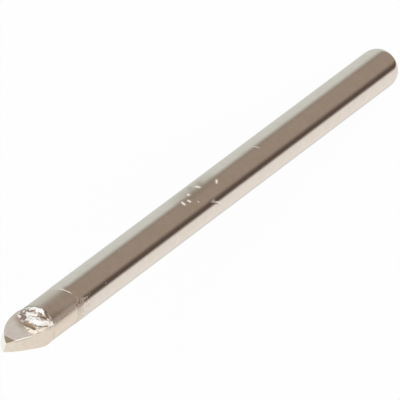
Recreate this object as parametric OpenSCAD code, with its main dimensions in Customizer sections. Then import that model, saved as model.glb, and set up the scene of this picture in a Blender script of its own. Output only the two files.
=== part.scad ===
// Glass and tile drill bit: a plated round shank with a carbide spear plate brazed into its end.
// Millimetres, +Z up. The origin is the centre of the shank end, and the point is above it.

/* [Overall] */
// Height from the shank end to the point, mm
overall_len = 75; // [55:1:120]
// Diameter of the plated shank, mm
shank_d = 3.85; // [3:0.05:6]

/* [Shank] */
// Height of the bevel round the shank end, mm
end_bevel = 0.2; // [0.05:0.05:0.4]
// Depth of the plate slot below the shoulder, mm
slot_depth = 4.3; // [2:0.1:7]
// Radial depth to which the slotted end is ground after brazing, mm
ground_step = 0.03; // [0.01:0.01:0.1]
// How far the ground end runs past the bottom of the slot, mm
ground_past_slot = 0.4; // [0.2:0.05:2]
// Length of the run-out from the ground end to the plated shank, mm
runout_len = 0.6; // [0.3:0.05:1.2]

/* [Carbide plate] */
// Thickness of the plate in its slot, mm
plate_t = 1.94; // [1.7:0.02:2.2]
// Lean of each plate face towards the bit axis above the shoulder, degrees
face_lean = 4.5; // [1:0.5:5.5]
// How far the plate stands out beyond the shank, mm
plate_proud = 0.02; // [0.01:0.01:0.15]
// Depth of the flat ground on the -X margin of the plate, mm
margin_cut = 0.3; // [0.2:0.02:0.4]
// Length of full-width plate between the steep flank and the shoulder, mm
land_len = 0.2; // [0.1:0.05:1]
// How far the ground point sits off the bit axis, towards -X, mm
point_shift = 0.05; // [0:0.01:0.2]

/* [Flanks] */
// Angle between the steep +X flank and the bit axis at the point, degrees
steep_angle = 26.5; // [24:0.5:40]
// Angle between the steep +X flank and the bit axis at the margin, degrees
steep_margin_angle = 14; // [8:0.5:18]
// Angle between the round -X flank and the bit axis at the point, degrees
round_angle = 44.5; // [38:0.5:55]
// Angle between the round -X flank and the bit axis at the margin, degrees
round_margin_angle = 4; // [3:0.5:12]
// Relief of each flank behind its cutting edge, degrees
relief_angle = 1; // [0.5:0.5:6]

/* [Point thinning] */
// Thickness left across the thinned chisel edge, mm
chisel_t = 0.91; // [0.5:0.02:1]
// Lean of the thinning facets from the bit axis, degrees
thinning_lean = 8.5; // [7:0.5:16]

/* [Braze] */
// Rise of the braze above the shoulder at the middle of the plate, mm
braze_rise = 2.35; // [1:0.05:2.6]
// Slope of the braze edge across the plate, degrees
braze_slant = 37; // [0:1:42]
// Ledge of bare shoulder left round the braze, mm
braze_ledge = 0.08; // [0.04:0.01:0.2]
// Drop from the flanks to the braze, measured along the bit, mm
edge_gap = 0.15; // [0.1:0.05:0.8]
// Thickness of the braze film between plate and slot, mm
braze_film = 0.08; // [0.04:0.01:0.15]

/* [Hidden] */
round_steps = 96;
flank_steps = 360;
shank_r = shank_d / 2;
plate_r = shank_r + plate_proud;
slot_w = plate_t + 2 * braze_film;
flat_x = plate_r - margin_cut;
// Each flank is a round that turns from its angle at the point to its angle at the margin.
steep_r = (plate_r + point_shift) / (cos(steep_margin_angle) - cos(steep_angle));
round_r = (flat_x - point_shift) / (cos(round_margin_angle) - cos(round_angle));
// The steep flank reaches the margin this far below the point, at the heel of its relief.
corner_drop = steep_r * (sin(steep_angle) - sin(steep_margin_angle)) + tan(relief_angle) * plate_t / 2;
shoulder_z = overall_len - corner_drop - land_len;
slot_z = shoulder_z - slot_depth;
ground_r = shank_r - ground_step;
ground_z = slot_z - ground_past_slot;
plate_foot_z = slot_z + braze_film;
plate_h = overall_len - plate_foot_z;
braze_r = ground_r - braze_ledge;
// The braze slope runs from its edge on the leaning plate face out to the ledge at the shoulder.
braze_top_y = plate_t / 2 - braze_rise * tan(face_lean);
braze_fall = braze_rise / (braze_r - braze_top_y);
braze_tilt = atan(braze_fall * cos(braze_slant));
// A block this large reaches past the whole bit from any cutting plane.
reach = 3 * overall_len;
// Cuts run this far past the face they open on.
overcut = shank_d;

// Everything below the XY plane, as one block.
module below_plane() {
    translate([-reach / 2, -reach / 2, -reach])
        cube(reach);
}

// Everything on the -Y side of the XZ plane, as one block.
module behind_plane() {
    translate([-reach / 2, -reach, -reach / 2])
        cube(reach);
}

// One ground flank, seen from the point: a round that falls towards +X, and back from its edge on +Y.
module flank_limit(point_angle, flank_r) {
    rotate([relief_angle, 0, 0])
        translate([-flank_r * cos(point_angle), 0, -flank_r * sin(point_angle)])
            union() {
                rotate([90, 0, 0])
                    cylinder(r = flank_r, h = reach, center = true, $fn = flank_steps);
                below_plane();
            }
}

// Both flanks of the spear, seen from the point.
module flanks() {
    intersection() {
        flank_limit(steep_angle, steep_r);
        rotate([0, 0, 180])
            flank_limit(round_angle, round_r);
    }
}

// The side of the leaning +Y face that the plate fills.
module face_limit() {
    translate([0, plate_t / 2, shoulder_z])
        rotate([face_lean, 0, 0])
            behind_plane();
}

// One thinning facet, seen from the point: it shortens the chisel edge on the +Y face.
module thinning_limit() {
    translate([0, chisel_t / 2, 0])
        rotate([thinning_lean, 0, 0])
            behind_plane();
}

// A pair of like limits, half a turn apart, kept where both apply.
module both_sides() {
    intersection() {
        children();
        rotate([0, 0, 180])
            children();
    }
}

// Moves a shape from the origin to the ground point.
module at_point() {
    translate([-point_shift, 0, overall_len])
        children();
}

// Plate foot, flush with the ground end inside the slot.
module plate_foot() {
    intersection() {
        translate([-plate_r, -plate_t / 2, plate_foot_z])
            cube([2 * plate_r, plate_t, shoulder_z - plate_foot_z]);
        translate([0, 0, plate_foot_z])
            cylinder(r = ground_r, h = shoulder_z - plate_foot_z, $fn = round_steps);
    }
}

// Plate above the shoulder: full width on +X, with a flat on -X.
module plate_head() {
    intersection() {
        translate([-flat_x, -plate_t / 2, shoulder_z])
            cube([flat_x + plate_r, plate_t, overall_len - shoulder_z + overcut]);
        translate([0, 0, shoulder_z])
            cylinder(r = plate_r, h = overall_len - shoulder_z + overcut, $fn = round_steps);
        both_sides() face_limit();
        at_point() flanks();
        at_point() both_sides() thinning_limit();
    }
}

module slot_cut() {
    translate([-shank_d, -slot_w / 2, slot_z])
        cube([2 * shank_d, slot_w, shoulder_z - slot_z + overcut]);
}

// Round bar with a bevelled end, a ground upper end and a flat shoulder.
module shank_bar() {
    rotate_extrude($fn = round_steps)
        polygon([
            [0, 0],
            [shank_r - end_bevel, 0],
            [shank_r, end_bevel],
            [shank_r, ground_z - runout_len],
            [ground_r, ground_z],
            [ground_r, shoulder_z],
            [0, shoulder_z]
        ]);
}

// The room between the two plate faces, wider than the plate.
module plate_room() {
    translate([-shank_d, -plate_t / 2, plate_foot_z])
        cube([2 * shank_d, plate_t, plate_h + overcut]);
}

// One braze bank on the shoulder, leaning against the +Y face and kept back from the flanks.
module braze_bank() {
    difference() {
        intersection() {
            translate([0, 0, shoulder_z])
                cylinder(r = braze_r, h = overall_len - shoulder_z, $fn = round_steps);
            translate([-shank_d, 0, shoulder_z])
                cube([2 * shank_d, shank_d, overall_len - shoulder_z]);
            translate([0, braze_top_y, shoulder_z + braze_rise])
                rotate([-braze_tilt, -braze_slant, 0])
                    below_plane();
            translate([0, 0, -edge_gap])
                at_point() flanks();
        }
        face_limit();
    }
}

// Film of braze that lines the slot, flush with the ground end.
module braze_lining() {
    difference() {
        intersection() {
            slot_cut();
            translate([0, 0, slot_z])
                cylinder(r = ground_r, h = shoulder_z - slot_z, $fn = round_steps);
        }
        plate_room();
    }
}

module shank() {
    color("silver")
        difference() {
            shank_bar();
            slot_cut();
        }
}

module carbide_tip() {
    color("gray")
        union() {
            plate_foot();
            plate_head();
        }
}

module braze_joint() {
    color("gold")
        union() {
            braze_lining();
            braze_bank();
            rotate([0, 0, 180])
                braze_bank();
        }
}

shank();
carbide_tip();
braze_joint();
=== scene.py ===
import math

import bmesh
import bpy
import numpy as np
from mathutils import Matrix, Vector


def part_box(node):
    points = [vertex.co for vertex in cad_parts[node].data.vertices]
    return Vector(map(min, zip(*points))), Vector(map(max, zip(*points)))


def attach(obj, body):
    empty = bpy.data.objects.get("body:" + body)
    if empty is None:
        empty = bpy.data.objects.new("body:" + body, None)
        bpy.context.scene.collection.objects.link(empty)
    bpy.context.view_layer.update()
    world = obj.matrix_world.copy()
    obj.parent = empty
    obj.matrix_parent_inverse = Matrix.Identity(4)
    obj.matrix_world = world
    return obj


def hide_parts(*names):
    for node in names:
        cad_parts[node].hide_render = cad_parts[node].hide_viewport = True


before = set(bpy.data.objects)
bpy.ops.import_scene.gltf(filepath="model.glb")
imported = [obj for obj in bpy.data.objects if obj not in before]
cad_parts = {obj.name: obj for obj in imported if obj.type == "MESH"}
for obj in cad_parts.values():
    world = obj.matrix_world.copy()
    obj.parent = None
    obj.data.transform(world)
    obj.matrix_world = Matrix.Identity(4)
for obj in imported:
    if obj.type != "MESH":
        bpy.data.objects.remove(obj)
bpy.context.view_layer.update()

METRE = 0.001  # shapes are worked out in millimetres

# Sizes that the solids have.
SHANK_R = 1.925
END_BEVEL = 0.2
GROUND_R = 1.895
RUNOUT_LEN = 0.6
GROUND_PAST_SLOT = 0.4
PLATE_HALF = 0.97
FACE_FALL = math.tan(math.radians(4.5))
FILM = 0.08
SLOT_HALF = PLATE_HALF + FILM
PLATE_R = 1.945
POINT_Z = 75.0
STEEP_R = 26.47
STEEP_ANGLE = math.radians(26.5)
ROUND_ANGLE = math.radians(44.5)
RELIEF = math.tan(math.radians(1.0))
CHISEL_HALF = 0.455
THINNING_FALL = math.tan(math.radians(8.5))
BRAZE_RISE = 2.35
BRAZE_SLANT = math.tan(math.radians(37))
SHOULDER_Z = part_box("shank")[1].z / METRE
SLOT_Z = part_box("braze_joint")[0].z / METRE
GROUND_Z = SLOT_Z - GROUND_PAST_SLOT
RUNOUT_Z = GROUND_Z - RUNOUT_LEN
HEAD_LEN = POINT_Z - SHOULDER_Z

# Finer form of the shank end and the plate, as ground and worn. Pairs are drops from the point.
END_ROUND = 0.9
POINT_X = -0.13
ROUND_R = 5.75
FLAT_X = 1.80
FLAT_DRAW = 0.14
FLAT_DRAW_LEN = 0.9
RELIEF_START = 0.4
THINNING_TURN = 0.6
MARGIN_WEAR = 0.12
MARGIN_WEAR_START = 1.0
EDGE_EASE = 0.05
HONE = 0.10
HONE_BEGIN = (0.6, 1.1)
HONE_END = (1.9, 3.1)

# Finer form of the braze: its reach and level cap, its ragged edge, and its bulged and rippled slope.
# Folds fade out towards the border of a bank over these shares of it.
BRAZE_R = 1.86
BRAZE_CAP = 2.68
EDGE_GAP = 0.05
EDGE_RIPPLE = 0.05
BANK_BULGE = 1.4
BANK_FALL = 0.85
BANK_RIPPLE = 0.012
FOLD_FADE = 0.10
FOLD_FADE_SIDE = 0.12

# Points along edges that grids share, and the grid of a braze bank.
CHEEK_STEPS = 97
SIDE_STEPS = 33
WIDE_STEPS = 25
BANK_COLUMNS = 141
BANK_ROWS = 101

# The haze of the ground end stops at a tilted line round the bar: height plus tilt times x.
HAZE_Z = 64.85
HAZE_TILT = 0.31

# A nick this deep goes through the plating, and the plating is rubbed dull about this height.
BARE_DEPTH = 0.045
RUBBED_Z = 38.8

# Stretches that a mark covers along an axis: where it begins, is full, fades and ends.
# A pale ring painted round the bar where the haze stops.
PALE_RING_X = (-0.6, -0.3, 0.4, 0.8)
RUBBED_X = (-1.5, -0.8, 0.0, 0.6)
# The next stretch is painted shade: a darker strip of the bar below the shoulder, on the side beside the
# braze.
BAND_SHADE_X = (0.8, 1.15, 1.32, 1.5)
TINT_X = (1.25, 1.5, 1.66, 1.76)
# The honed corner runs here; it carries a painted highlight and a painted shade line.
HONED_Z = (71.9, 72.9, 74.0, 74.3)

# Marks that go on once they have begun: where they begin and are full.
PALE_RING_Y = (0.0, 0.5)
RUBBED_Y = (0.6, 1.4)
# The next two set out the same painted shade strip across and up the bar.
BAND_SHADE_Y = (0.5, 0.9)
BAND_SHADE_Z = (66.2, 68.8)
TINT_Y = (0.45, 0.6)
# Painted shade: the shoulder ledge and the top of the bar beside the braze are coloured dark.
LEDGE_SHADE_Z = (SHOULDER_Z - 0.03, SHOULDER_Z - 0.005)
HONED_X = (0.1, 0.3)
HONED_Y = (0.2, 0.4)

# Marks about a middle: how far from it they are full, and how far from it they end.
PALE_RING_NEAR = (0.03, 0.08)
RUBBED_NEAR = (1.2, 4.6)
LIP_NEAR = (0.03, 0.05)
THINNED_NEAR = (0.005, 0.015)

# Depths from the plate face: the pressed skin, the painted highlight on the honed corner, and the painted
# shade line under that corner.
PRESSED_DEPTH = (-0.012, -0.006)
HONED_HIGHLIGHT_DEPTH = (-0.115, -0.10)
LIP_DEPTH = -0.15

# The scorch on the plate face: its middle and half width, past the braze edge and across the plate.
SCORCH_PAST, SCORCH_PAST_HALF = 0.15, 0.50
SCORCH_X, SCORCH_X_HALF = -0.85, 0.80

# Nicks in the plating: height, turn from +Y towards +X in degrees, half length, half width,
# lean in degrees, depth.
NICKS = (
    (38.14, -11.8, 0.30, 0.19, 98.0, 0.060),
    (35.76, 12.0, 0.32, 0.11, 28.0, 0.055),
    (40.16, -8.3, 0.25, 0.14, 31.0, 0.055),
    (41.13, 9.6, 0.20, 0.14, 109.0, 0.055),
    (41.98, 5.0, 0.29, 0.15, 66.0, 0.060),
    (40.20, 26.9, 0.11, 0.10, 0.0, 0.024),
    (38.15, 48.5, 0.36, 0.16, -10.0, 0.014),
    (37.35, 63.3, 1.15, 0.06, -27.0, 0.026),
    (27.00, -1.0, 0.34, 0.07, 100.0, 0.028),
    (54.47, 2.8, 0.08, 0.07, 0.0, 0.014),
    (59.37, 52.4, 0.09, 0.07, 0.0, 0.012),
    (63.29, 50.2, 0.08, 0.07, 0.0, 0.024),
)

# Strokes on the braze: start, bend and end as x and rise above the shoulder, half width, strength.
# The strength is a lift in millimetres for the folds, and a share of colour for the rest.
FOLDS = (
    ((-0.50, 0.34), (0.00, 0.40), (0.32, 0.24), 0.19, 0.20),
    ((0.20, 0.30), (0.40, 0.42), (0.60, 0.42), 0.07, 0.07),
    ((-0.80, 0.92), (-0.35, 1.18), (0.42, 0.80), 0.10, 0.10),
    ((-0.25, 1.36), (0.15, 1.42), (0.50, 1.12), 0.13, 0.07),
    ((-0.38, 1.66), (0.90, 1.88), (1.57, 0.10), 0.16, 0.20),
    ((-0.05, 2.46), (0.50, 2.62), (1.05, 2.38), 0.13, 0.07),
    ((1.05, 2.25), (1.38, 1.75), (1.50, 0.80), 0.17, 0.09),
    ((-1.33, 1.35), (-1.31, 1.37), (-1.29, 1.39), 0.09, 0.08),
    ((-0.75, 1.92), (0.10, 2.12), (0.75, 2.10), 0.15, -0.08),
    ((0.70, 1.80), (1.15, 1.52), (1.42, 0.80), 0.07, -0.06),
)
CRESTS = tuple((*fold[:4], 1.0) for fold in FOLDS if fold[4] > 0.0)
# Brown stains from fluxing, partly painted shade: the strokes in creases between folds and along the foot of
# the bank stand for shade there.
BROWN_STAINS_AND_SHADE = (
    ((-0.90, 1.86), (0.05, 2.16), (0.70, 2.12), 0.19, 1.10),
    ((0.72, 1.84), (1.15, 1.60), (1.40, 0.95), 0.07, 0.90),
    ((0.32, 0.92), (0.60, 0.84), (0.90, 0.55), 0.12, 1.00),
    ((0.48, 0.05), (0.72, 0.22), (0.95, 0.30), 0.14, 1.00),
    ((0.16, 0.55), (0.28, 0.56), (0.40, 0.58), 0.08, 0.90),
    ((-0.45, 1.24), (-0.10, 1.24), (0.30, 1.04), 0.05, 0.80),
    ((-0.40, 1.50), (0.20, 1.58), (0.70, 1.22), 0.05, 0.75),
    ((-0.40, 1.84), (0.20, 1.95), (0.68, 1.88), 0.08, 0.45),
    ((0.28, 2.60), (0.36, 2.57), (0.42, 2.54), 0.08, 0.80),
)
GOLD_STAINS = (
    ((-0.10, 2.45), (0.50, 2.65), (1.05, 2.45), 0.26, 1.00),
    ((1.05, 2.30), (1.40, 1.75), (1.50, 0.85), 0.22, 0.90),
)
PURPLE_STAINS = (
    ((-1.25, 0.25), (-1.18, 0.70), (-1.02, 1.05), 0.24, 0.48),
    ((-1.50, 0.30), (-1.44, 0.70), (-1.32, 1.05), 0.10, 0.70),
    ((-1.05, 1.10), (-0.90, 1.30), (-0.62, 1.48), 0.17, 1.00),
    ((-0.95, 0.62), (-0.85, 0.70), (-0.72, 0.70), 0.12, 0.80),
    ((-0.55, 0.62), (-0.42, 0.62), (-0.30, 0.62), 0.11, 1.00),
    ((-1.05, 1.52), (-0.85, 1.62), (-0.58, 1.64), 0.13, 0.85),
    ((-0.15, 0.72), (0.05, 0.66), (0.20, 0.58), 0.06, 0.60),
)

# The photograph's view: where the camera stands round the bit, and how the picture is turned.
VIEW_TURN = math.radians(31.475)
VIEW_RISE = math.radians(56.0)
VIEW_ROLL = math.radians(36.9)
VIEW_DISTANCE = 1075.5
VIEW_AIM_Z = 37.0
VIEW_AIM_SIDE = -0.195
VIEW_LENS = 1080.0


def smooth(low, high, value):
    """Ramp from 0 at low to 1 at high, with level ends: 3t2 - 2t3."""
    t = np.clip((value - low) / (high - low), 0.0, 1.0)
    return t * t * (3.0 - 2.0 * t)


def grid_faces(rows, columns, start=0, closed=False):
    """Quads of a rows by columns grid, numbered row by row; closed joins the last column to the first."""
    last = columns if closed else columns - 1
    i, j = np.meshgrid(np.arange(rows - 1), np.arange(last), indexing="ij")
    k = (j + 1) % columns
    quads = np.stack([i * columns + j, i * columns + k, (i + 1) * columns + k, (i + 1) * columns + j], -1)
    return quads.reshape(-1, 4) + start


def sheet(points, closed=False):
    """A grid of points with its quads."""
    return points.reshape(-1, 3), grid_faces(*points.shape[:2], closed=closed)


def slab(front, back):
    """A closed body between two sheets of the same grid: both sheets, and a strip round their borders."""
    rows, columns = front.shape[:2]
    points = np.concatenate([front.reshape(-1, 3), back.reshape(-1, 3)])
    size = rows * columns
    index = np.arange(size).reshape(rows, columns)
    ring = np.concatenate([index[0, :-1], index[:-1, -1], index[-1, :0:-1], index[:0:-1, 0]])
    after = np.roll(ring, -1)
    strip = np.stack([ring, after, after + size, ring + size], -1)
    faces = np.concatenate([grid_faces(rows, columns), grid_faces(rows, columns, size)[:, ::-1], strip])
    return points, faces


def half_turn(shell):
    """The same shell half a turn round the Z axis."""
    points, faces = shell
    return points * np.array([-1.0, -1.0, 1.0]), faces


def piece(name, shells, sharp_deg, paint):
    """One mesh from (points, faces) shells in millimetres.

    Doubles are merged, faces turned outward and corners kept sharp, and its spots are painted.
    """
    starts = np.cumsum([0] + [len(points) for points, faces in shells])
    points = np.concatenate([points for points, faces in shells]) * METRE
    faces = np.concatenate([faces + start for (_, faces), start in zip(shells, starts)])
    mesh = bpy.data.meshes.new(name)
    mesh.from_pydata(points.tolist(), [], faces.tolist())
    work = bmesh.new()
    work.from_mesh(mesh)
    bmesh.ops.remove_doubles(work, verts=work.verts, dist=2e-7)
    bmesh.ops.dissolve_degenerate(work, dist=1e-8, edges=work.edges)
    bmesh.ops.recalc_face_normals(work, faces=work.faces)
    work.to_mesh(mesh)
    work.free()
    spots = np.empty(len(mesh.vertices) * 3)
    mesh.vertices.foreach_get("co", spots)
    for label, value in paint(*(spots.reshape(-1, 3).T / METRE)).items():
        mesh.attributes.new(label, "FLOAT", "POINT").data.foreach_set("value", value)
    mesh.polygons.foreach_set("use_smooth", np.ones(len(mesh.polygons), bool))
    mesh.set_sharp_from_angle(angle=math.radians(sharp_deg))
    made = bpy.data.objects.new(name, mesh)
    bpy.context.scene.collection.objects.link(made)
    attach(made, "root")
    return made


def nick_shapes(height, turn):
    """For each nick a round-ended bell on the bar, 1 at its middle and 0 away from it, and its depth."""
    for level, degrees, half_len, half_wid, lean, depth in NICKS:
        up = height - level
        round_way = (turn - math.radians(degrees) + math.pi) % (2.0 * math.pi) - math.pi
        side = SHANK_R * round_way
        along = up * math.cos(math.radians(lean)) + side * math.sin(math.radians(lean))
        across = side * math.cos(math.radians(lean)) - up * math.sin(math.radians(lean))
        yield np.exp(-(along / half_len) ** 4 - (across / half_wid) ** 2), depth


def ring_turns():
    """Turns round the bar from +Y towards +X, with one on each corner of the slot."""
    half = math.acos(SLOT_HALF / GROUND_R)
    cheek = np.linspace(-half, half, CHEEK_STEPS)
    side = np.arccos(np.linspace(SLOT_HALF, -SLOT_HALF, SIDE_STEPS)[1:-1] / GROUND_R)
    return cheek, np.concatenate([cheek, side, cheek + math.pi, side + math.pi])


def bar_rows():
    """Heights of the rows up the bar, crowded in step with a density that peaks at the nicks."""
    plain, crowded = 1.6, 14.0  # rows to a millimetre
    fine = np.linspace(END_ROUND, RUNOUT_Z, 6000)
    density = np.full_like(fine, plain)
    for level, _, half_len, half_wid, _, _ in NICKS:
        bell = np.exp(-((fine - level) / (1.3 * half_len + half_wid)) ** 4)
        density = np.maximum(density, crowded * bell)
    count = np.concatenate([[0.0], np.cumsum(0.5 * (density[1:] + density[:-1]) * np.diff(fine))])
    return np.interp(np.linspace(0.0, count[-1], int(count[-1])), count, fine)


def bar_profile():
    """Heights and radii up the bar: a rounded end, a plain length, and a run-out to the ground end."""
    rows = bar_rows()
    bend = np.linspace(math.pi / 2, 0.0, 13)[:-1]
    cone = np.linspace(0.0, 1.0, 13)[1:]
    rounded = SHANK_R - END_BEVEL + END_BEVEL * np.cos(bend)
    taper = SHANK_R + (GROUND_R - SHANK_R) * smooth(0.0, 1.0, cone)
    height = [[0.0], END_ROUND * (1.0 - np.sin(bend)), rows, RUNOUT_Z + RUNOUT_LEN * cone, [SLOT_Z]]
    radius = [[0.0], rounded, np.full(len(rows), SHANK_R), taper, [GROUND_R]]
    return np.concatenate(height), np.concatenate(radius)


def shank_shells():
    """Turned bar: a profile carried round the axis, less the nicks, and two round-backed cheeks."""
    cheek_turn, turn = ring_turns()
    height, radius = bar_profile()
    r, a = np.meshgrid(radius, turn, indexing="ij")
    z = np.repeat(height[:, None], len(turn), 1)
    for shape, depth in nick_shapes(z, a):
        r = r - depth * shape * (r > SHANK_R - END_BEVEL)
    bar = np.stack([r * np.sin(a), r * np.cos(a), z], -1)
    level, a = np.meshgrid(np.linspace(SLOT_Z, SHOULDER_Z, 14), cheek_turn, indexing="ij")
    x = GROUND_R * np.sin(a)
    outer = np.stack([x, GROUND_R * np.cos(a), level], -1)
    inner = np.stack([x, np.full_like(x, SLOT_HALF), level], -1)
    part = np.linspace(0.0, 1.0, 5)[:, None, None]
    top = outer[-1] + part * (inner[-1] - outer[-1])
    y = np.linspace(SLOT_HALF, -SLOT_HALF, SIDE_STEPS)[:, None]
    across = inner[0, :, 0] / inner[0, -1, 0]
    span = np.sqrt(GROUND_R ** 2 - y ** 2) * across
    floor = np.stack([span, np.repeat(y, len(across), 1), np.full_like(span, SLOT_Z)], -1)
    cheek = [sheet(outer), sheet(inner), sheet(top)]
    return [sheet(bar, closed=True), sheet(floor)] + cheek + [half_turn(shell) for shell in cheek]


def shank_paint(x, y, z):
    """How bare each spot of the plating is: the deepest nick there, from 0 to 1."""
    bare = np.zeros_like(x)
    for shape, depth in nick_shapes(z, np.arctan2(x, y)):
        bare = np.maximum(bare, shape * min(1.0, depth / BARE_DEPTH))
    return {"bare": bare}


def face_y(z):
    """Plate face: it leans in towards the axis above the shoulder."""
    return PLATE_HALF - FACE_FALL * (z - SHOULDER_Z)


def steep_flank(x):
    """Height of the steep flank: the upper arc of a large round that passes through the point."""
    out = math.cos(STEEP_ANGLE) + np.maximum(x - POINT_X, 0.0) / STEEP_R
    return POINT_Z - STEEP_R * (math.sin(STEEP_ANGLE) - np.sqrt(1.0 - out ** 2))


def waves(u, v, seed, count, low, high, lean, stray):
    """Lumps: a sum of sine waves of two parameters, with seeded lengths, turns and phases about a lean."""
    rng = np.random.default_rng(seed)
    total = np.zeros_like(u)
    for _ in range(count):
        pitch = rng.uniform(low, high)
        angle = lean + rng.normal(0.0, stray)
        phase = rng.uniform(0.0, 2.0 * math.pi)
        total += np.sin(2.0 * math.pi * (u * math.cos(angle) + v * math.sin(angle)) / pitch + phase)
    return total / math.sqrt(count)


def strokes(table, x, rise):
    """Sum of strokes: each a bell of the distance to a curve from its start, by its bend, to its end."""
    t = np.linspace(0.0, 1.0, 41)
    total = np.zeros_like(x)
    for start, bend, end, half_wid, strength in table:
        path = np.outer((1.0 - t) ** 2, start) + np.outer(2.0 * t * (1.0 - t), bend) + np.outer(t ** 2, end)
        gap = (x[..., None] - path[:, 0]) ** 2 + (rise[..., None] - path[:, 1]) ** 2
        total += strength * np.exp(-(np.min(gap, -1) / half_wid ** 2) ** 1.5)
    return total


def braze_top(x, seed):
    """Upper edge of the braze: a slanted line with a level cap and a ripple, or the flank if lower."""
    line = SHOULDER_Z + np.minimum(BRAZE_RISE + BRAZE_SLANT * x, BRAZE_CAP)
    ripple = EDGE_RIPPLE * waves(x, 0.0 * x, seed, count=5, low=0.35, high=1.0, lean=0.0, stray=0.1)
    return np.minimum(line + ripple, steep_flank(x) - EDGE_GAP)


def braze_bank(seed):
    """A folded bank: at each place across the plate, a bulged slope from the shoulder up to the face."""
    reach = math.sqrt(BRAZE_R ** 2 - PLATE_HALF ** 2)
    even = np.linspace(-1.0, 1.0, BANK_COLUMNS)
    columns = 0.5 * (even + np.sin(0.5 * math.pi * even))
    across, share = np.meshgrid(columns, np.linspace(0.0, 1.0, BANK_ROWS), indexing="ij")
    x = reach * across
    z = SHOULDER_Z + share * (braze_top(x, seed) - SHOULDER_Z)
    rim = np.sqrt(np.maximum(BRAZE_R ** 2 - x ** 2, PLATE_HALF ** 2)) - PLATE_HALF
    ripple = waves(x, z, seed + 1, count=9, low=0.2, high=0.5, lean=math.radians(60), stray=0.5)
    lift = strokes(FOLDS, x, z - SHOULDER_Z) + BANK_RIPPLE * ripple
    free = smooth(0.0, FOLD_FADE_SIDE, 1.0 - np.abs(across))
    free = free * smooth(0.0, FOLD_FADE, share) * smooth(0.0, FOLD_FADE, 1.0 - share)
    out = rim * (1.0 - share ** BANK_BULGE) ** BANK_FALL + free * lift
    front = np.stack([x, face_y(z) + np.maximum(out, 0.0), z], -1)
    back = np.stack([x, face_y(z), z], -1)
    return slab(front, back)


def braze_lining():
    """Film in the slot: a U carried across the bit, with both ends flush with the ground round."""
    drop = np.linspace(0.0, 1.0, 9)
    foot = np.linspace(-1.0, 1.0, 9)[1:-1]
    wall = np.full_like(drop, PLATE_HALF)
    inner_y = np.concatenate([-wall, PLATE_HALF * foot, wall])
    outer_y = inner_y * SLOT_HALF / PLATE_HALF
    across = np.linspace(-1.0, 1.0, WIDE_STEPS)

    def side(y, low):
        deep = drop * (SHOULDER_Z - low)
        z = np.concatenate([SHOULDER_Z - deep, np.full_like(foot, low), low + deep])
        x = np.sqrt(GROUND_R ** 2 - y ** 2)[:, None] * across
        return np.stack([x, np.broadcast_to(y[:, None], x.shape), np.broadcast_to(z[:, None], x.shape)], -1)

    return slab(side(outer_y, SLOT_Z), side(inner_y, SLOT_Z + FILM))


def braze_paint(x, y, z):
    """Brown and purple stains in the hollows, the brown partly painted shade in creases and at the foot of
    the bank; gold towards the upper edge, and clean crests on the folds.
    """
    across, rise = np.where(y < 0.0, -x, x), z - SHOULDER_Z
    tables = {"brown": BROWN_STAINS_AND_SHADE, "purple": PURPLE_STAINS, "gold": GOLD_STAINS, "crest": CRESTS}
    return {label: np.minimum(strokes(table, across, rise), 1.0) for label, table in tables.items()}


def arc_out(drop, radius, angle):
    """How far a crowned flank stands out at a drop below the point: along a round of that radius."""
    lean = math.sin(angle) - np.maximum(drop, 0.0) / radius
    return radius * (np.sqrt(1.0 - lean ** 2) - math.cos(angle))


def steep_side(drop, y):
    """The +X side of the plate: the steep flank with its relief, worn smoothly into the round margin."""
    relieved = drop + y * RELIEF * smooth(0.0, RELIEF_START, drop)
    flank = POINT_X + arc_out(relieved, STEEP_R, STEEP_ANGLE)
    margin = np.sqrt(PLATE_R ** 2 - y ** 2)
    worn = MARGIN_WEAR * smooth(0.0, MARGIN_WEAR_START, drop)
    return 0.5 * (flank + margin - np.sqrt((flank - margin) ** 2 + worn ** 2))


def round_side(drop):
    """The -X side of the plate: the round flank, down to a margin that draws in to meet the ground end."""
    low = ROUND_R * math.sin(ROUND_ANGLE)
    drawn = FLAT_X - FLAT_DRAW * (1.0 - smooth(0.0, FLAT_DRAW_LEN, HEAD_LEN - drop))
    return np.maximum(POINT_X - arc_out(np.minimum(drop, low), ROUND_R, ROUND_ANGLE), -drawn)


def plate_ring(front, back_right, back_left, right, left, hone, z):
    """A ring of points for each height: front face, honed corner, +X side, back face and -X side."""
    wide = np.linspace(0.0, 1.0, WIDE_STEPS)
    thick = np.linspace(0.0, 1.0, SIDE_STEPS)[:-1]
    right_y = front - hone + thick * (hone - back_right - front)
    left_y = -back_left + thick * (front + back_left)
    front_x = left(front) + wide * (right(front) - hone - left(front))
    back_x = right(-back_right) + wide[:-1] * (left(-back_left) - right(-back_right))
    back_y = -back_right + wide[:-1] * (back_right - back_left)
    x = np.concatenate([front_x, right(right_y), back_x, left(left_y)], 1)
    y = np.concatenate([np.repeat(front, len(wide), 1), right_y, back_y, left_y], 1)
    return np.stack([x, y, np.repeat(z, x.shape[1], 1)], -1)


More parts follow.
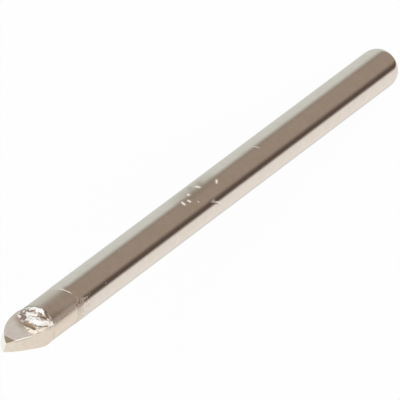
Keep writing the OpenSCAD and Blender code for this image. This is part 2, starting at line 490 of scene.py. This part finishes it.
def plate_shells():
    """Spear plate: rings carried up from its foot in the slot to the chisel edge, and a flat foot."""
    foot_z = np.linspace(SLOT_Z + FILM, SHOULDER_Z, 8)[:, None]
    half = np.full_like(foot_z, PLATE_HALF)

    def ground(y):
        return np.sqrt(GROUND_R ** 2 - y ** 2)

    foot = plate_ring(half, half, half, ground, lambda y: -ground(y), 0.0, foot_z)
    thinned = (CHISEL_HALF - face_y(POINT_Z)) / (FACE_FALL - THINNING_FALL)
    below, above = np.linspace(HEAD_LEN, thinned, 90)[:-1], np.linspace(thinned, 0.0, 31)
    drop = np.concatenate([below, above])[:, None]
    face, facet = face_y(POINT_Z - drop), CHISEL_HALF + THINNING_FALL * drop
    front, left_x = np.minimum(face, facet), round_side(drop)
    back_left = np.minimum(face, facet + THINNING_TURN * (POINT_X - left_x))
    hone = HONE * smooth(*HONE_BEGIN, drop) * (1.0 - smooth(*HONE_END, drop))
    head = plate_ring(front, front, back_left, lambda y: steep_side(drop, y), lambda y: left_x + 0.0 * y,
                      hone, POINT_Z - drop)
    inward = np.linspace(0.0, 1.0, 9)[:, None, None] * np.array([1.0, 1.0, 0.0])
    base = foot[0] * (1.0 - inward)
    return [sheet(np.concatenate([foot, head]), closed=True), sheet(base, closed=True)]


def plate_paint(x, y, z):
    """Where the plate is thinned, and where its face is scorched beside the upper edge of the braze."""
    gap = np.abs(y) - CHISEL_HALF - THINNING_FALL * (POINT_Z - z)
    across = np.where(y < 0.0, -x, x)
    past = z - SHOULDER_Z - BRAZE_RISE - BRAZE_SLANT * across
    along = (past - SCORCH_PAST) / SCORCH_PAST_HALF
    aside = (across - SCORCH_X) / SCORCH_X_HALF
    return {"thinned": 1.0 - smooth(*THINNED_NEAR, np.abs(gap)), "scorch": np.exp(-along ** 2 - aside ** 2)}


def node(tree, kind, inputs=None, **settings):
    """Adds a shader node, sets its properties, and fills or links its inputs by name or number."""
    made = tree.nodes.new(kind)
    for key, value in settings.items():
        setattr(made, key, value)
    for key, value in (inputs or {}).items():
        if isinstance(value, bpy.types.NodeSocket):
            tree.links.new(value, made.inputs[key])
        else:
            made.inputs[key].default_value = value
    return made


def opaque(tone):
    """A colour of red, green and blue with full alpha; a link stays as it is."""
    return (*tone, 1.0) if isinstance(tone, tuple) else tone


def ramp(tree, factor, stops):
    """Colour ramp from (place, colour) stops."""
    made = node(tree, "ShaderNodeValToRGB", {"Fac": factor})
    parts = made.color_ramp.elements
    while len(parts) < len(stops):
        parts.new(0.5)
    for part, (place, colour) in zip(parts, stops):
        part.position = place
        part.color = opaque(colour)
    return made.outputs["Color"]


def blend(tree, share, first, second):
    """A mix of two values."""
    return node(tree, "ShaderNodeMix", {0: share, 2: first, 3: second}, data_type="FLOAT").outputs[0]


def tones(tree, share, first, second):
    """A mix of two colours."""
    inputs = {0: share, 6: opaque(first), 7: opaque(second)}
    return node(tree, "ShaderNodeMix", inputs, data_type="RGBA").outputs[2]


def sums(tree, operation, first, second=0.0):
    """One step of arithmetic on values."""
    return node(tree, "ShaderNodeMath", {0: first, 1: second}, operation=operation).outputs[0]


def product(tree, first, *others):
    """Several values multiplied together."""
    for other in others:
        first = sums(tree, "MULTIPLY", first, other)
    return first


def spread(tree, value, low, high, to_low=0.0, to_high=1.0):
    """A value mapped from one range to another, held at the ends."""
    inputs = {"Value": value, 1: low, 2: high, 3: to_low, 4: to_high}
    return node(tree, "ShaderNodeMapRange", inputs, clamp=True).outputs["Result"]


def stretch_of(tree, value, begin, full, fade, end):
    """1 from full to fade, and 0 before begin and past end."""
    return product(tree, spread(tree, value, begin, full), spread(tree, value, fade, end, 1.0, 0.0))


def close_to(tree, value, middle, full, none):
    """1 up to full away from a middle, and 0 from none away on."""
    away = sums(tree, "ABSOLUTE", sums(tree, "SUBTRACT", value, middle))
    return spread(tree, away, full, none, 1.0, 0.0)


def new_material(name):
    """An empty node material with its output."""
    made = bpy.data.materials.new(name)
    made.use_nodes = True
    made.node_tree.nodes.clear()
    return made, made.node_tree, node(made.node_tree, "ShaderNodeOutputMaterial")


def bit_space(tree, stretch=(1.0, 1.0, 1.0)):
    """Object coordinates in millimetres, stretched along the axes."""
    place = node(tree, "ShaderNodeTexCoord").outputs["Object"]
    scale = tuple(stretched / METRE for stretched in stretch)
    return node(tree, "ShaderNodeMapping", {"Vector": place, "Scale": scale}).outputs["Vector"]


def axes(tree):
    """The x, y and z of the place on the bit, in millimetres."""
    split = node(tree, "ShaderNodeSeparateXYZ", {"Vector": bit_space(tree)})
    return split.outputs["X"], split.outputs["Y"], split.outputs["Z"]


def noise(tree, vector, scale, detail, rough=0.5):
    """Noise value of a vector."""
    inputs = {"Vector": vector, "Scale": scale, "Detail": detail, "Roughness": rough}
    return node(tree, "ShaderNodeTexNoise", inputs).outputs["Fac"]


def painted(tree, label):
    """A value that was painted on the mesh."""
    return node(tree, "ShaderNodeAttribute", attribute_name=label).outputs["Fac"]


def metal(tree, out, tone, rough, metallic, grain, strength, depth):
    """Closes a material with one metal shader and a bump of that grain, its depth in millimetres."""
    bump = node(tree, "ShaderNodeBump", {"Height": grain, "Strength": strength, "Distance": depth * METRE})
    inputs = {"Base Color": tone, "Roughness": rough, "Metallic": metallic, "Normal": bump.outputs["Normal"]}
    shader = node(tree, "ShaderNodeBsdfPrincipled", inputs)
    tree.links.new(shader.outputs["BSDF"], out.inputs["Surface"])


def plated_steel():
    """Bright warm plating with bare nicks, painted near white in part as the highlights on them, and a rubbed
    patch.

    It is hazy and heat-tinted over the ground end, with a pale ring where the haze stops. Painted shade
    darkens a strip of the bar below the shoulder, and the ledge at the shoulder.
    """
    made, tree, out = new_material("plated_steel")
    plating, bright_plating = (0.76, 0.72, 0.67), (0.80, 0.765, 0.72)
    rubbed_plating, hazy_steel = (0.58, 0.53, 0.46), (0.72, 0.67, 0.61)
    # The first tone below is painted shade for that strip; the second is heat tint.
    band_shade_steel, tinted_steel = (0.53, 0.47, 0.38), (0.52, 0.39, 0.315)
    # The second tone below is painted shade for the shoulder ledge; the first is bare metal, partly a painted
    # highlight.
    bare_steel_and_highlight, ledge_shade_tone = (0.98, 0.92, 0.83), (0.22, 0.185, 0.145)
    x, y, z = axes(tree)
    cloud = noise(tree, bit_space(tree), scale=1.3, detail=4.0)
    rings = noise(tree, bit_space(tree, (0.3, 0.3, 6.0)), scale=2.0, detail=2.0)
    speck = spread(tree, noise(tree, bit_space(tree), scale=4.5, detail=2.0), 0.35, 0.65, -0.5, 1.5)
    ragged = product(tree, speck, spread(tree, x, 1.0, 1.35, 0.12, 1.5))
    level = sums(tree, "ADD", product(tree, x, HAZE_TILT), z)
    past = sums(tree, "SUBTRACT", level, HAZE_Z)
    haze = spread(tree, sums(tree, "ADD", past, ragged), -0.1, 0.3)
    # A pale ring painted near white round the bar where the haze stops.
    pale_ring = product(tree, stretch_of(tree, x, *PALE_RING_X), spread(tree, y, *PALE_RING_Y),
                   close_to(tree, past, 0.0, *PALE_RING_NEAR))
    # Bare nicks through the plating, painted near white partly as the highlights on them, and the pale ring.
    pale = sums(tree, "MAXIMUM", painted(tree, "bare"), pale_ring)
    rubbed = product(tree, stretch_of(tree, x, *RUBBED_X), spread(tree, y, *RUBBED_Y),
                     close_to(tree, z, RUBBED_Z, *RUBBED_NEAR), spread(tree, cloud, 0.3, 0.6, 0.4, 1.0))
    # Painted shade: a strip of the bar below the shoulder darkened to a deeper brown.
    painted_band_shade = product(tree, stretch_of(tree, x, *BAND_SHADE_X), spread(tree, y, *BAND_SHADE_Y), spread(tree, z, *BAND_SHADE_Z))
    tint = product(tree, stretch_of(tree, x, *TINT_X), spread(tree, y, *TINT_Y), haze)
    # Painted shade: the ledge at the shoulder and the bar just below it darkened.
    ledge_shade = spread(tree, z, *LEDGE_SHADE_Z)
    bright = ramp(tree, cloud, [(0.35, plating), (0.65, bright_plating)])
    plate = tones(tree, rubbed, bright, rubbed_plating)
    ground = tones(tree, haze, plate, hazy_steel)
    shaded = tones(tree, painted_band_shade, ground, band_shade_steel)
    tinted = tones(tree, tint, shaded, tinted_steel)
    clean = tones(tree, pale, tinted, bare_steel_and_highlight)
    tone = tones(tree, ledge_shade, clean, ledge_shade_tone)
    gloss = spread(tree, rings, 0.3, 0.7, 0.10, 0.15)
    dull = spread(tree, cloud, 0.3, 0.7, 0.31, 0.40)
    polish = blend(tree, sums(tree, "MAXIMUM", haze, rubbed), gloss, dull)
    rough = blend(tree, sums(tree, "MAXIMUM", pale, ledge_shade), polish, 0.55)
    metallic = blend(tree, pale, blend(tree, tint, 1.0, 0.45), 0.2)
    metal(tree, out, tone, rough, metallic, rings, strength=0.02, depth=0.05)
    return made


def ground_carbide():
    """Bare ground carbide on the flanks and point, with fine grinding lines, and dull faces as pressed.

    The honed corner carries a painted highlight, with a painted shade line under it, and the faces are
    scorched beside the braze.
    """
    made, tree, out = new_material("ground_carbide")
    carbide, bright_carbide, thinned_carbide = (0.755, 0.70, 0.615), (0.82, 0.76, 0.67), (0.82, 0.77, 0.65)
    pressed_skin, pale_skin, scorched_skin = (0.64, 0.58, 0.53), (0.72, 0.66, 0.60), (0.36, 0.27, 0.18)
    # Tones of a painted shade line under the honed corner, and of a painted highlight on that corner.
    lip_shade, honed_edge_highlight = (0.50, 0.44, 0.37), (0.97, 0.94, 0.89)
    scorch_share = 0.75
    x, y, z = axes(tree)
    lines = noise(tree, bit_space(tree, (7.0, 7.0, 0.8)), scale=2.0, detail=2.0)
    cloud = noise(tree, bit_space(tree), scale=2.2, detail=4.0)
    lean = product(tree, sums(tree, "SUBTRACT", z, SHOULDER_Z), FACE_FALL)
    depth = sums(tree, "SUBTRACT", sums(tree, "ADD", sums(tree, "ABSOLUTE", y), lean), PLATE_HALF)
    pressed = spread(tree, depth, *PRESSED_DEPTH)
    corner = product(tree, spread(tree, x, *HONED_X), spread(tree, y, *HONED_Y),
                     stretch_of(tree, z, *HONED_Z))
    # Painted shade: a dark line just under the honed corner.
    lip = product(tree, corner, close_to(tree, depth, LIP_DEPTH, *LIP_NEAR))
    # Painted highlight: the honed corner coloured near white.
    honed = product(tree, corner, spread(tree, depth, *HONED_HIGHLIGHT_DEPTH))
    bare = ramp(tree, cloud, [(0.3, carbide), (0.7, bright_carbide)])
    ground = tones(tree, painted(tree, "thinned"), bare, thinned_carbide)
    lined = tones(tree, lip, ground, lip_shade)
    edged = tones(tree, honed, lined, honed_edge_highlight)
    skin = ramp(tree, cloud, [(0.3, pressed_skin), (0.7, pale_skin)])
    scorched = tones(tree, product(tree, painted(tree, "scorch"), scorch_share), skin, scorched_skin)
    tone = tones(tree, pressed, edged, scorched)
    fine = spread(tree, lines, 0.3, 0.7, 0.20, 0.28)
    coarse = spread(tree, lines, 0.3, 0.7, 0.50, 0.60)
    rough = blend(tree, pressed, fine, coarse)
    metallic = blend(tree, pressed, 1.0, 0.45)
    metal(tree, out, tone, rough, metallic, lines, strength=0.04, depth=0.05)
    return made


def braze_metal():
    """Silvery filler, gold towards its upper edge, with brown and purple stains in its hollows left by
    fluxing, the brown partly painted shade in creases and at the foot of the bank, and clean matt crests.
    """
    made, tree, out = new_material("braze_metal")
    silver, bright_silver, gold = (0.85, 0.84, 0.80), (0.96, 0.95, 0.93), (0.95, 0.85, 0.72)
    brown_stain_and_shade, flux_purple = (0.37, 0.285, 0.205), (0.31, 0.225, 0.21)
    place = bit_space(tree)
    streak = noise(tree, place, scale=2.6, detail=5.0, rough=0.6)
    ragged = spread(tree, noise(tree, place, scale=5.0, detail=4.0, rough=0.6), 0.3, 0.7, -1.0, 1.0)

    def stain_and_shade(label, break_up):
        broken = product(tree, ragged, break_up)
        return spread(tree, sums(tree, "ADD", painted(tree, label), broken), 0.2, 0.8)

    # The brown is stain and painted shade together; the purple is stain.
    brown, purple = stain_and_shade("brown", 0.25), stain_and_shade("purple", 0.5)
    filler = ramp(tree, streak, [(0.3, silver), (0.65, bright_silver)])
    warm = tones(tree, painted(tree, "gold"), filler, gold)
    browned = tones(tree, brown, warm, brown_stain_and_shade)
    tone = tones(tree, purple, browned, flux_purple)
    stained_and_shaded = sums(tree, "MAXIMUM", brown, purple)
    rough = blend(tree, stained_and_shaded, spread(tree, streak, 0.3, 0.7, 0.16, 0.30), 0.45)
    clean = product(tree, painted(tree, "crest"), spread(tree, stained_and_shaded, 0.0, 1.0, 1.0, 0.0))
    metallic = blend(tree, clean, 1.0, 0.4)
    metal(tree, out, tone, rough, metallic, streak, strength=0.06, depth=0.1)
    return made


def studio_world():
    """White to the camera, soft even light, and upright cards under a bright sky for the metal to mirror.

    The cards are colours round the horizon. A skyline parts them from the sky, and white stands behind.
    """
    world = bpy.data.worlds.new("studio")
    world.use_nodes = True
    tree = world.node_tree
    tree.nodes.clear()
    place = node(tree, "ShaderNodeTexCoord").outputs["Generated"]
    way = node(tree, "ShaderNodeSeparateXYZ", {"Vector": place})
    height = way.outputs["Z"]
    turn = sums(tree, "ARCTAN2", way.outputs["Y"], way.outputs["X"])
    share = spread(tree, turn, -math.pi, math.pi)

    def horizon(*stops):
        return ramp(tree, share, [((degrees + 180.0) / 360.0, tone) for degrees, tone in stops])

    grey, brown, deep_brown = (0.705, 0.705, 0.66), (0.386, 0.307, 0.252), (0.33, 0.283, 0.235)
    dark, beige, warm_grey = (0.12, 0.085, 0.07), (0.93, 0.865, 0.81), (0.76, 0.735, 0.70)
    rear_grey, side_grey = (0.70, 0.70, 0.66), (0.66, 0.66, 0.63)
    sky, strip, rear_white = (0.98, 0.95, 0.91), (0.34, 0.29, 0.25), (1.08, 1.16, 1.18)
    even_grey, white = (0.62, 0.62, 0.62), (1.0, 1.0, 1.0)
    low, level, high = (0.0, 0.0, 0.0), (0.5, 0.5, 0.5), (1.0, 1.0, 1.0)
    skyline_step, card_tops, rear_foot = 0.17, (-0.50, -0.25), (-0.78, -0.66)
    cards = horizon((-180, rear_grey), (-121, side_grey), (-90, warm_grey), (-65, beige), (-5, beige),
                    (8, dark), (23.5, dark), (42, brown), (109, brown), (120, deep_brown), (144, grey),
                    (180, grey))
    skyline = horizon((-4, level), (4, low), (18, low), (28, high), (62, high), (82, level))
    behind = horizon((-180, high), (-118, high), (-100, low), (160, low), (180, high))
    above = horizon((-100, sky), (-92, strip), (-76, strip), (-66, sky), (62, sky), (68, strip),
                    (80, strip), (88, sky))
    raised = sums(tree, "ADD", height, spread(tree, skyline, 0.0, 1.0, -skyline_step, skyline_step))
    fore = tones(tree, spread(tree, raised, *card_tops), cards, above)
    rear = product(tree, behind, spread(tree, height, *rear_foot))
    mirrored = tones(tree, rear, fore, rear_white)
    path = node(tree, "ShaderNodeLightPath")
    soft = tones(tree, path.outputs["Is Glossy Ray"], even_grey, mirrored)
    seen = tones(tree, path.outputs["Is Camera Ray"], soft, white)
    light = node(tree, "ShaderNodeBackground", {"Color": seen, "Strength": 1.0})
    out = node(tree, "ShaderNodeOutputWorld")
    tree.links.new(light.outputs["Background"], out.inputs["Surface"])
    bpy.context.scene.world = world


def studio_floor():
    """A wide pale floor: mostly plain white to the camera, and partly lit, so it keeps a soft shadow."""
    half_side, below, plain_share = 4.0, -0.05 * METRE, 0.92
    side = np.linspace(-half_side, half_side, 5)
    x, y = np.meshgrid(side, side)
    points, faces = sheet(np.stack([x, y, np.full_like(x, below)], -1))
    mesh = bpy.data.meshes.new("floor")
    mesh.from_pydata(points.tolist(), [], faces.tolist())
    floor = bpy.data.objects.new("floor", mesh)
    bpy.context.scene.collection.objects.link(floor)
    made, tree, out = new_material("pale_floor")
    lit = node(tree, "ShaderNodeBsdfDiffuse", {"Color": (0.92, 0.92, 0.92, 1.0)})
    plain = node(tree, "ShaderNodeEmission", {"Color": (1.0, 1.0, 1.0, 1.0), "Strength": 1.0})
    seen = node(tree, "ShaderNodeLightPath").outputs["Is Camera Ray"]
    part = product(tree, seen, plain_share)
    mix = node(tree, "ShaderNodeMixShader", {0: part, 1: lit.outputs[0], 2: plain.outputs[0]})
    tree.links.new(mix.outputs[0], out.inputs["Surface"])
    mesh.materials.append(made)
    floor.visible_glossy = False


def look():
    """Camera on the photograph's line of sight, rolled to the photograph's slant."""
    out = np.array([math.sin(VIEW_TURN), math.cos(VIEW_TURN), 0.0])
    down = np.array([math.cos(VIEW_TURN), -math.sin(VIEW_TURN), 0.0])
    up = np.array([0.0, 0.0, 1.0])
    back = math.cos(VIEW_RISE) * out + math.sin(VIEW_RISE) * up
    along = math.sin(VIEW_RISE) * out - math.cos(VIEW_RISE) * up
    right = math.cos(VIEW_ROLL) * along + math.sin(VIEW_ROLL) * down
    top = math.sin(VIEW_ROLL) * along - math.cos(VIEW_ROLL) * down
    place = (VIEW_AIM_Z * up + VIEW_AIM_SIDE * down + VIEW_DISTANCE * back) * METRE
    made = np.eye(4)
    made[:3, 0], made[:3, 1], made[:3, 2], made[:3, 3] = right, top, back, place
    return made


def studio_camera():
    """The camera, with a long lens as in the photograph."""
    data = bpy.data.cameras.new("camera")
    data.lens = VIEW_LENS
    data.sensor_width = 36.0
    data.clip_start, data.clip_end = 0.05, 20.0
    camera = bpy.data.objects.new("camera", data)
    bpy.context.scene.collection.objects.link(camera)
    camera.matrix_world = [list(row) for row in look().T]
    bpy.context.scene.camera = camera


def studio_lamp():
    """One large soft lamp near the camera's line, so that the shadow lies behind the bit."""
    lamp_distance = 1.3  # metres
    data = bpy.data.lights.new("soft_lamp", "AREA")
    data.shape = "DISK"
    data.size = 0.5
    data.energy = 8.0
    lamp = bpy.data.objects.new("soft_lamp", data)
    bpy.context.scene.collection.objects.link(lamp)
    place = look()
    place[:3, 3] = place[:3, 2] * lamp_distance + np.array([0.0, 0.0, VIEW_AIM_Z * METRE])
    lamp.matrix_world = [list(row) for row in place.T]


shank = piece("plated_shank", shank_shells(), sharp_deg=25.0, paint=shank_paint)
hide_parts("shank")
shank.data.materials.append(plated_steel())

braze_bodies = [braze_lining(), braze_bank(seed=3), half_turn(braze_bank(seed=8))]
braze = piece("braze_banks", braze_bodies, sharp_deg=40.0, paint=braze_paint)
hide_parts("braze_joint")
braze.data.materials.append(braze_metal())

plate = piece("carbide_plate", plate_shells(), sharp_deg=3.0, paint=plate_paint)
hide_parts("carbide_tip")
plate.data.materials.append(ground_carbide())
ease = plate.modifiers.new("eased_corners", "BEVEL")
ease.width = EDGE_EASE * METRE
ease.segments = 2
ease.limit_method = "ANGLE"
ease.harden_normals = True
ease.angle_limit = math.radians(30)

studio_world()
studio_floor()
studio_lamp()
studio_camera()
bpy.context.scene.view_settings.view_transform = "Standard"
